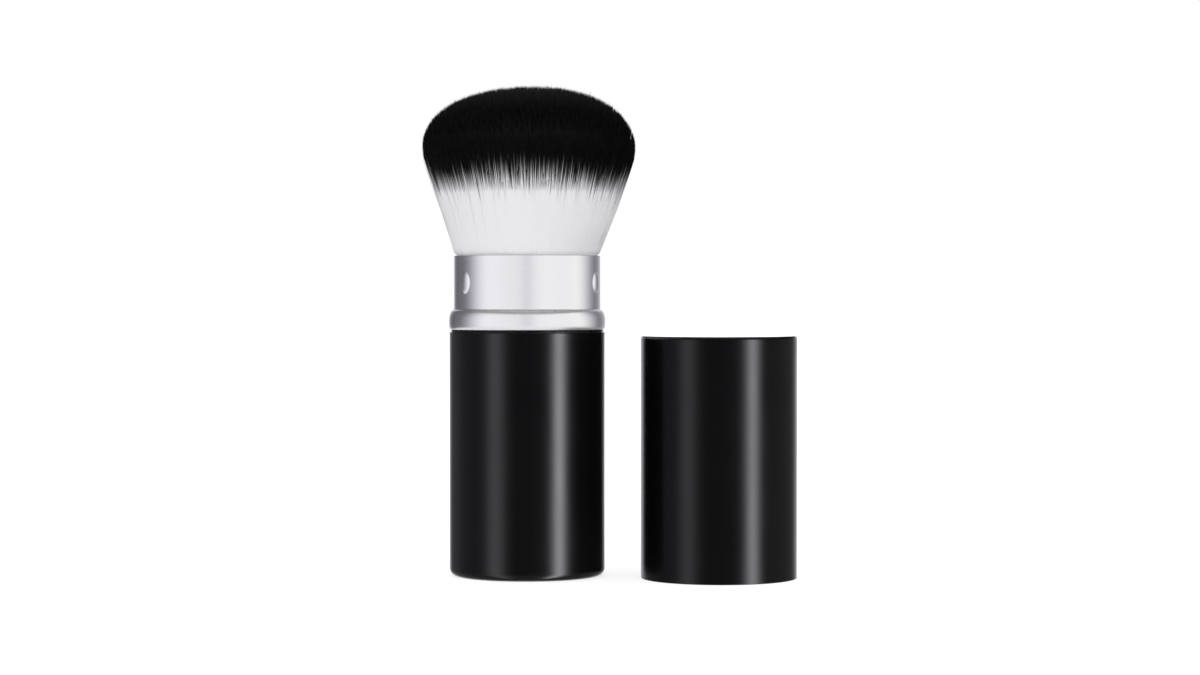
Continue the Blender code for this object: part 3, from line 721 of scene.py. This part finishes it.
def join_skins(name, skins):
    """Several skins as one object. Their numbers move up by the points before them, and v comes from the heights."""
    points, quads, triangles, quad_u, triangle_u = zip(*skins)
    before = np.cumsum([0] + [len(part) for part in points[:-1]])
    points = np.concatenate(points)
    quads = np.concatenate([part + first for part, first in zip(quads, before)])
    triangles = np.concatenate([part + first for part, first in zip(triangles, before)])
    corners = np.concatenate([quads.ravel(), triangles.ravel()])
    u = np.concatenate([part.ravel() for part in quad_u + triangle_u])
    v = np.clip((points[corners, 2] - HAIR_LOW) / HAIR_SPAN, 0, 1)
    return mesh_object(name, points, quads, triangles, columns(u, v))


def soften_normals(mesh, sizes):
    """Makes a tuft shade as one soft mass, as fine pale fibres that scatter light into each other do.

    A point's normal is 1 - s times its strand's own, plus s times the tuft's, where s is the softness, less 0.7 of it
    by a smooth step through the dye. The tuft's normal runs along (x, y, 1.5 up - 2.6 slope (r - 12.5 mm)): up is the
    height above the dye, at least 0, r the distance from the axis and slope the flare's. It is nearly level at the
    collar, where the collar throws light back up into the hair.
    """
    own = read_points(mesh.vertex_normals, "vector")
    tuft = read_points(mesh.vertices, "co")
    up = tuft[:, 2] - sizes.dye_height
    turned_down = 2.6 * sizes.flare_slope * np.maximum(np.hypot(tuft[:, 0], tuft[:, 1]) - 0.0125, 0)
    tuft[:, 2] = 1.5 * np.maximum(up, 0) - turned_down
    # On the axis under the dye the tuft has no direction, and the strand's own normal stays.
    tuft /= np.maximum(np.linalg.norm(tuft, axis=1, keepdims=True), 1e-9)
    soft = sizes.softness * (1 - 0.7 * smooth_step(up, -0.001, 0.005))[:, None]
    mixed = (1 - soft) * own + soft * tuft
    mixed /= np.maximum(np.linalg.norm(mixed, axis=1, keepdims=True), 1e-9)
    mesh.normals_split_custom_set_from_vertices(mixed)


def outer_strands(sizes, rng):
    """The outer layer: the strands' angles, middle lines, widths and dye levels.

    Neighbours all round differ in depth and in dye by steps of irrational size, so that no patch is deeper or darker
    than the next. The dye's height is spread as log(q / (1 - q)) / 1.702 for a quantile q, nearly a normal's, and
    further below the mean than above. At angle a it is lowered by the swell times cos 2a, and raised by the crest
    times cos 2a squared where that is positive, a little less on the right. That crest is painted light: it keeps the
    strands at the tuft's sides pale higher up, standing in for light that shines through them there from behind.
    """
    count = sizes.outer_strands
    top = RIM + sizes.widest_height
    angle = (np.arange(count) + rng.uniform(-0.5, 0.5, count)) * math.tau / count % math.tau
    radial = 1 - 0.015 * ((np.arange(count) * (math.sqrt(5) - 1) / 2 + rng.normal(0, 0.05, count)) % 1)
    quantile = np.clip((np.arange(count) * math.sqrt(3) + rng.normal(0, 0.12, count)) % 1, 0.05, 0.98)
    # The heights of a strand's rings: over the rim, and under the top
    over_rim = np.array([-0.0030, 0.0, 0.00025, 0.0006, 0.0016, 0.0050, 0.0095])
    levels = np.concatenate([RIM + over_rim, top - np.array([0.0085, 0.0050, 0.0022, 0.0])])
    girth = np.array([0.9, 1.0, 1.02, 1.05, 1.1, 1.2, 1.32, 1.3, 1.05, 0.72, 0.0])
    lines, widths = strand_layer(sizes, radial, angle, levels, girth, (0.00022, 0.0006), 0.12, rng, packed=True)
    off_mean = np.log(quantile / (1 - quantile)) / 1.702
    dye = sizes.dye_height + sizes.dye_spread * np.where(off_mean < 0, 1.45, 0.8) * off_mean
    side = np.cos(2 * angle)
    # The crest term is painted light: the side strands stay pale higher up, standing in for backlight shining through
    # them.
    dye += sizes.painted_backlight_crest * (1 - 0.2 * np.cos(angle)) * np.maximum(side, 0) ** 2 - sizes.dye_swell * side
    dye_level = np.clip((dye - (sizes.dye_height - DYE_RANGE / 2)) / DYE_RANGE, 0.01, 0.98)
    return angle, lines, widths, dye_level


def inner_strands(sizes, rng):
    """The dyed strands that end on the dome, laid out as sunflower seeds: their angles, middle lines and widths."""
    count = sizes.inner_strands
    radial = 0.982 * np.sqrt((np.arange(count) + 0.5) / count)
    angle = (np.arange(count) * math.pi * (3 - math.sqrt(5)) + rng.normal(0, 0.004, count)) % math.tau
    levels = RIM + sizes.widest_height - np.array([0.0075, 0.0045, 0.0022, 0.0005, 0.0])
    girth = np.array([1.6, 1.45, 1.15, 0.85, 0.0])
    return angle, *strand_layer(sizes, radial, angle, levels, girth, (0.00018, 0.0005), 0.2, rng)


# ---------- Studio ----------


def make_camera(scene, studio):
    """A camera at the photograph's place, looking along +Y and a little down."""
    data = bpy.data.cameras.new("camera")
    data.lens = studio.lens
    data.sensor_width = 36
    data.clip_start = 0.01
    data.clip_end = 10
    camera = bpy.data.objects.new("camera", data)
    camera.location = (studio.eye_right, -studio.eye_distance, studio.eye_height)
    camera.rotation_euler = (QUARTER - studio.tilt, 0, 0)
    scene.collection.objects.link(camera)
    scene.camera = camera


def make_floor():
    """A round white floor that keeps the shadow. Polished surfaces see the white background in its place."""
    angles = np.linspace(0, math.tau, 64, endpoint=False)
    profile = columns([0.0, 0.05, 0.1, 0.3, 1.0, 3.0, 3.0, 0.0], [0.0] * 6 + [-0.02] * 2)
    floor = mesh_object("floor", *grid_skin(turned_points(profile, angles)))
    made, add, shader = new_material("matte_white_sweep", linear("f2f2f2"), 0.9)
    set_inputs(shader, {"Specular IOR Level": 0.0})
    # To the camera the floor is mostly plain white, with its own shading mixed in, so that only a shadow shows.
    white = add("Emission", {"Color": (1, 1, 1, 1), "Strength": 1.2})
    seen = add("Math", {0: add("LightPath").outputs["Is Camera Ray"], 1: 0.62}, operation="MULTIPLY")
    mixed = add("MixShader", {0: seen, 1: shader, 2: white})
    set_inputs(made.node_tree.nodes["Material Output"], {"Surface": mixed})
    floor.data.materials.append(made)
    floor.visible_glossy = False
    floor.visible_shadow = False


def make_world(scene, studio):
    """White to the camera, an even soft light to unpolished surfaces, and a photographer's room to polished ones.

    The room's brightness goes by the angle round the brush. It is darkest where the camera stands. Over it is a soft
    ceiling, and under it the white table.
    """
    world = bpy.data.worlds.new("studio")
    world.use_nodes = True
    add = functools.partial(add_node, world.node_tree)
    x, y, z = add("SeparateXYZ", {0: add("TexCoord").outputs["Generated"]}).outputs
    minus_y = add("Math", {0: y, 1: -1.0}, operation="MULTIPLY")
    angle = add("Math", {0: x, 1: minus_y}, operation="ARCTAN2")
    walls = add("ValToRGB", {0: add("MapRange", {"Value": angle, "From Min": -math.pi, "From Max": math.pi})})
    stops = walls.color_ramp.elements
    while len(stops) < len(ROOM_LEVELS):
        stops.new(0.5)
    for stop, (degrees, level) in zip(stops, ROOM_LEVELS):
        stop.position = (degrees + 180) / 360
        stop.color = (*tinted(level, ROOM_LEVELS[0][1]), 1.0)
    smooth = {"interpolation_type": "SMOOTHSTEP"}
    ceiling = add("MapRange", {"Value": z, "From Min": 0.35, "From Max": 0.95, "To Max": 0.42}, **smooth)
    table = add("MapRange", {"Value": z, "From Min": -0.14, "From Max": -0.30, "To Max": 0.22}, **smooth)
    ends = add("Math", {0: ceiling, 1: table}, operation="MAXIMUM")
    room = add("Mix", {0: 1.0, 6: walls, 7: ends}, data_type="RGBA", blend_type="LIGHTEN")
    rays = add("LightPath").outputs
    # The soft light is a quarter dimmer from straight below than from the sides, and a quarter brighter from above.
    low, high = 0.75 * studio.ambient, 1.25 * studio.ambient
    ambient = add("MapRange", {"Value": z, "From Min": -1.0, "To Min": low, "To Max": high})
    polished = add("Mix", {0: rays["Is Glossy Ray"], 6: ambient, 7: room}, data_type="RGBA")
    seen = add("Math", {0: rays["Is Camera Ray"], 1: rays["Is Transmission Ray"]}, operation="MAXIMUM")
    final = add("Mix", {0: seen, 6: polished, 7: (1, 1, 1, 1)}, data_type="RGBA")
    set_inputs(world.node_tree.nodes["Background"], {"Color": final})
    world.cycles.sampling_method = "NONE"
    scene.world = world


def light_screen(name, receivers, walls_at, radius, table=0.0):
    """A round screen about the brush that glows only in the polish of the receivers and lets all else through.

    walls_at gives its brightness from the angle round it, in degrees from -Y towards +X, and high up it fades. With
    a table it turns into the table's brightness low down, which is less on the right, and what is dim in it is bluish.
    Without one it is for lacquer: it ends a little above the brush, so that a level face hardly shows it, and it
    doesn't show in a reflection of a reflection.
    """
    # Columns half a degree apart, and rows 5 cm
    angles = np.linspace(-math.pi, math.pi, 720, endpoint=False)
    heights = np.linspace(1.3, -2.6, 79)
    grid = turned_points(columns(radius, heights), angles - QUARTER)
    number = np.arange(grid[..., 0].size).reshape(grid.shape[:2])
    after = np.roll(number, -1, axis=1)
    quads = columns(number[:-1], after[:-1], after[1:], number[1:]).reshape(-1, 4)
    screen = mesh_object(name, grid.reshape(-1, 3), quads, np.zeros((0, 3), int))
    # The heights between which the screen's glow starts, and those between which it ends
    starts, ends = ((-0.42, -0.17), (0.9, 1.3)) if table else ((-2.6, -2.0), (0.19, 0.33))
    over_table = smooth_step(heights, *starts)
    degrees = np.degrees(angles)
    glow = np.outer(over_table * (1 - smooth_step(heights, *ends)), walls_at(degrees))
    glow += np.outer(1 - over_table, table * (1 - 0.95 * smooth_step(degrees, 45, 85)))
    colours = tinted(glow, glow.max()) if table else glow[..., None] * np.array(COOL_WHITE)
    level = screen.data.attributes.new("glow", "FLOAT_COLOR", "POINT")
    level.data.foreach_set("color", np.insert(colours, 3, 1, axis=-1).astype(np.float32).ravel())
    made, add, shader = new_material(name, COOL_WHITE, 1.0)
    nodes = made.node_tree.nodes
    nodes.remove(shader)
    emission = add("Emission", {"Color": add("Attribute", attribute_name="glow").outputs["Color"]})
    if not table:
        first = add("Math", {0: add("LightPath").outputs["Ray Depth"], 1: 1.5}, operation="LESS_THAN")
        set_inputs(emission, {"Strength": first})
    both = add("AddShader", {0: emission, 1: add("BsdfTransparent")})
    set_inputs(nodes["Material Output"], {"Surface": both})
    made.cycles.emission_sampling = "NONE"
    screen.data.materials.append(made)
    for rays in ("camera", "diffuse", "shadow", "transmission"):
        setattr(screen, "visible_" + rays, False)
    shown = bpy.data.collections.new(name)
    for piece in receivers:
        shown.objects.link(piece)
    screen.light_linking.receiver_collection = shown


def bell(angle, middle, left, right):
    """exp of minus the squared distance from the middle, over the left or the right width."""
    return np.exp(-(((angle - middle) / np.where(angle < middle, left, right)) ** 2))


def make_lamps(scene, studio):
    """A large soft lamp overhead, and what the two kinds of metal show in their polish."""
    lamp = bpy.data.lights.new("overhead", "AREA")
    lamp.shape = "RECTANGLE"
    lamp.size = 0.9
    lamp.size_y = 0.7
    lamp.energy = studio.key
    overhead = bpy.data.objects.new("overhead", lamp)
    overhead.location = LAMP_PLACE
    x, y, z = np.array(LAMP_AIM) - np.array(overhead.location)
    overhead.rotation_euler = (math.atan2(math.hypot(x, y), -z), 0, math.atan2(-x, y))
    overhead.visible_camera = False
    overhead.visible_glossy = False
    scene.collection.objects.link(overhead)

    def barrel_levels(angle):
        """The right and the left strip, a dim rise behind on the left, and the bright backdrop."""
        strips = studio.strip_right * bell(angle, 48.8, 7.7, 8.6) + studio.strip_left * bell(angle, -46.8, 12.5, 13.5)
        return strips + 0.05 * smooth_step(-angle, 95, 125) + 0.55 * smooth_step(np.abs(angle), 148, 165)

    def cap_levels(angle):
        """The two strips, dimmer than the barrel shows them, a dim rise on the right, and the bright backdrop."""
        right = 0.74 * studio.strip_right * bell(angle, 48.8, 8.2, 8.9)
        left = 0.67 * studio.strip_left * bell(angle, -47, 12, 13)
        return right + left + 0.16 * smooth_step(angle, 50, 90) + 0.75 * smooth_step(np.abs(angle), 131, 162)

    def aluminium_levels(angle):
        """A wide bright front with a dimmer band down its middle, and two rises towards the backdrop."""
        front = (0.91 + 0.09 * smooth_step(angle, 5, 30)) * (1 - smooth_step(np.abs(angle - 9), 71, 126))
        right = 0.18 * smooth_step(angle, 60, 100) + 0.27 * smooth_step(angle, 135, 158)
        return front - 0.25 * bell(angle, 1, 6.5, 6.5) + right + 0.45 * smooth_step(-angle, 145, 165)

    pieces = bpy.data.objects
    nodes = frame["nodes"]
    light_screen("barrel_screen", [pieces["barrel_shell"], nodes["mouth_bush"]], barrel_levels, 1.1)
    light_screen("cap_screen", [pieces["cap_shell"]], cap_levels, 1.15)
    light_screen("metal_screen", [pieces["sleeve_shell"], nodes["hair_cup"]], aluminium_levels, 1.2, table=0.72)
    # The cap was lit and seen by itself, so the polish of the brush doesn't show it.
    pieces["cap_shell"].visible_glossy = False


# ---------- Operators ----------


class LacquerOperator(bpy.types.Operator):
    """Builds the barrel and the cap, two drawn cups in black lacquer"""

    bl_idname = "makeup_brush.lacquered_cups"
    bl_label = "Barrel and cap"

    def execute(self, context):
        sizes = context.scene.brush_metal
        surface = lacquer_material(context.scene.brush_finishes)
        angles = np.linspace(0, math.tau, TURN_STEPS, endpoint=False)
        barrel = cup_profile(BARREL[1].x, BARREL[1].z, sizes.wall, sizes.barrel_corner, sizes.rim_round)
        shell = mesh_object("barrel_shell", *grid_skin(turned_points(barrel, angles)))
        mark_level_face(shell, BARREL[1].z)
        finish_piece(shell, surface, "handle", "barrel")
        middle = (CAP[0] + CAP[1]) / 2
        radius = (CAP[1].x - CAP[0].x) / 2
        # The cap is a cup that is turned upside down.
        cap = cup_profile(radius, CAP[1].z, sizes.wall, sizes.cap_corner, sizes.rim_round)[::-1]
        cap = columns(cap[:, 0], CAP[1].z - cap[:, 1])
        shell = mesh_object("cap_shell", *grid_skin(turned_points(cap, angles, (middle.x, middle.y))))
        mark_level_face(shell, CAP[1].z)
        finish_piece(shell, surface, "cap", "cap")
        return {"FINISHED"}


class SleeveOperator(bpy.types.Operator):
    """Builds the silver sleeve: collar with grip bumps, finger bead and hidden tail"""

    bl_idname = "makeup_brush.sleeve"
    bl_label = "Sleeve"

    def execute(self, context):
        sizes = context.scene.brush_metal
        bumps = context.scene.brush_bumps
        radius, fillet = sizes.collar_radius, sizes.tail_fillet
        wall_top = RIM - sizes.rim_round
        small = (sizes.rim_round, sizes.rim_round)
        bead = bead_profile(sizes, BUSH[1].z + sizes.bead_gap, SLEEVE[1].x)
        collar_bottom = bead[0, 1]
        rim = arc((radius - sizes.rim_round, wall_top), small, QUARTER, 0, 5)
        collar = columns(radius, np.linspace(wall_top, collar_bottom, 92)[1:-1])
        turn_in = arc((sizes.tail_radius + fillet, bead[-1, 1] - fillet), (fillet, fillet), QUARTER, math.pi, 6)
        tail_end = [(sizes.tail_radius, sizes.tail_bottom)]
        outer = hold_edges(np.concatenate([rim, collar, bead, turn_in, tail_end]))
        inner = inner_profile(outer[len(rim) - 1 :], sizes.wall)
        inner[0] = (radius - sizes.wall, wall_top)
        rim_in = arc((radius - sizes.wall + sizes.rim_round, wall_top), small, math.pi, QUARTER, 5)
        profile = np.concatenate([outer, inner[::-1], rim_in[1:]])
        heights = profile[:, 1]
        angles = crowded_angles(bumps, radius, SLEEVE_STEPS)
        middle = collar_bottom + (RIM - collar_bottom) * bumps.height_share
        on_collar = (heights > collar_bottom) & (heights < wall_top)
        relief = bump_relief(bumps, radius, middle, angles, heights) * on_collar[:, None]
        shell = mesh_object("sleeve_shell", *grid_skin(turned_points(profile, angles, relief=relief), rows_join=True))
        finish_piece(shell, aluminium_material(context.scene.brush_finishes), "sleeve", "sleeve")
        return {"FINISHED"}


class InnerPartsOperator(bpy.types.Operator):
    """Finishes the moulded bush, the post and the other parts inside, which keep their shapes"""

    bl_idname = "makeup_brush.inner_parts"
    bl_label = "Inner parts"

    def execute(self, context):
        finishes = context.scene.brush_finishes
        # Acetal copolymer has a fine eroded grain, about 0.12 mm.
        acetal = moulded_material("black_moulded_acetal", finishes.black_acetal, 0.42, 0.00012, 0.000002)
        # ABS from a plain mould, with a grain of 0.2 mm and slow flow marks.
        abs_plastic = moulded_material("white_moulded_abs", finishes.white_abs, 0.4, 0.0002, 0.0000015)
        # Nitrile rubber with a blasted mould's grain, 0.08 mm.
        nitrile = moulded_material("moulded_nitrile_rubber", finishes.nitrile, 0.62, 0.00008, 0.000002)
        for name, surface in {
            "mouth_bush": acetal,
            "post": abs_plastic,
            "guide_ring": abs_plastic,
            "friction_ring": nitrile,
            "weight_slug": steel_material(finishes),
            "resin_plug": epoxy_material(finishes),
            "hair_cup": bpy.data.materials.get("satin_anodised_aluminium") or aluminium_material(finishes),
        }.items():
            node = frame["nodes"][name]
            for slot in node.material_slots:
                slot.material = surface
            if not node.material_slots:
                raise RuntimeError(f"{name} has no material slot")
        return {"FINISHED"}


class HairOperator(bpy.types.Operator):
    """Builds the flared, domed hair in sectors"""

    bl_idname = "makeup_brush.hair"
    bl_label = "Hair"

    def execute(self, context):
        sizes = context.scene.brush_hair
        surface = hair_material(context.scene.brush_finishes, sizes)
        rng = np.random.default_rng(SEED)
        angle, outer, outer_width, dye_level = outer_strands(sizes, rng)
        inner_angle, inner, inner_width = inner_strands(sizes, rng)
        # The outer strands lie with a flat side outwards, give or take.
        spin = angle - math.pi / STRAND_SIDES + rng.normal(0, 0.12, len(angle))
        width = math.tau / SECTORS
        for k in range(SECTORS):
            here = (angle // width).astype(int) == k
            inside = (inner_angle // width).astype(int) == k
            inner_spin = rng.random(inside.sum()) * math.tau
            skins = [
                core_skin(sizes, k * width, (k + 1) * width, 0.5),
                strand_skins(outer[here], outer_width[here], spin[here], dye_level[here]),
                strand_skins(inner[inside], inner_width[inside], inner_spin, np.full(len(inner_spin), 0.5)),
            ]
            piece = join_skins(f"hair_{k:02d}", skins)
            soften_normals(piece.data, sizes)
            finish_piece(piece, surface, "handle", "bristles")
            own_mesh(piece)
        return {"FINISHED"}


class StudioOperator(bpy.types.Operator):
    """Sets up the white floor, the light and the camera"""

    bl_idname = "makeup_brush.studio"
    bl_label = "Studio"

    def execute(self, context):
        scene = context.scene
        studio = scene.brush_studio
        make_camera(scene, studio)
        make_floor()
        make_world(scene, studio)
        make_lamps(scene, studio)
        scene.view_settings.view_transform = "Standard"
        return {"FINISHED"}


# ---------- Panel and registration ----------

OPERATORS = (LacquerOperator, SleeveOperator, InnerPartsOperator, HairOperator, StudioOperator)
GROUPS = {
    "brush_metal": BrushMetalSizes,
    "brush_bumps": BrushBumpSizes,
    "brush_hair": BrushHairSizes,
    "brush_finishes": BrushFinishes,
    "brush_studio": BrushStudio,
}


class BrushPanel(bpy.types.Panel):
    """Lists the steps and the sizes, colours and lights that they use"""

    bl_idname = "VIEW3D_PT_makeup_brush"
    bl_label = "Makeup brush"
    bl_space_type = "VIEW_3D"
    bl_region_type = "UI"
    bl_category = "Makeup brush"

    def draw(self, context):
        for operator in OPERATORS:
            self.layout.operator(operator.bl_idname)
        for name in GROUPS:
            group = getattr(context.scene, name)
            box = self.layout.box()
            box.label(text=name.removeprefix("brush_").capitalize())
            for key in group.__annotations__:
                box.prop(group, key)


def register():
    """Registers the groups of properties, each with its place on the scene, then the operators and the panel."""
    for name, group in GROUPS.items():
        bpy.utils.register_class(group)
        setattr(bpy.types.Scene, name, PointerProperty(type=group))
    for shown in (*OPERATORS, BrushPanel):
        bpy.utils.register_class(shown)


def unregister():
    """Takes back what register does, in the opposite order."""
    for shown in (BrushPanel, *reversed(OPERATORS)):
        bpy.utils.unregister_class(shown)
    for name, group in reversed(GROUPS.items()):
        delattr(bpy.types.Scene, name)
        bpy.utils.unregister_class(group)


def main():
    """Registers the add-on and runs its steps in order."""
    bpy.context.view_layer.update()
    register()
    bpy.ops.makeup_brush.lacquered_cups()
    bpy.ops.makeup_brush.sleeve()
    bpy.ops.makeup_brush.inner_parts()
    bpy.ops.makeup_brush.hair()
    bpy.ops.makeup_brush.studio()


if __name__ == "__main__":
    main()
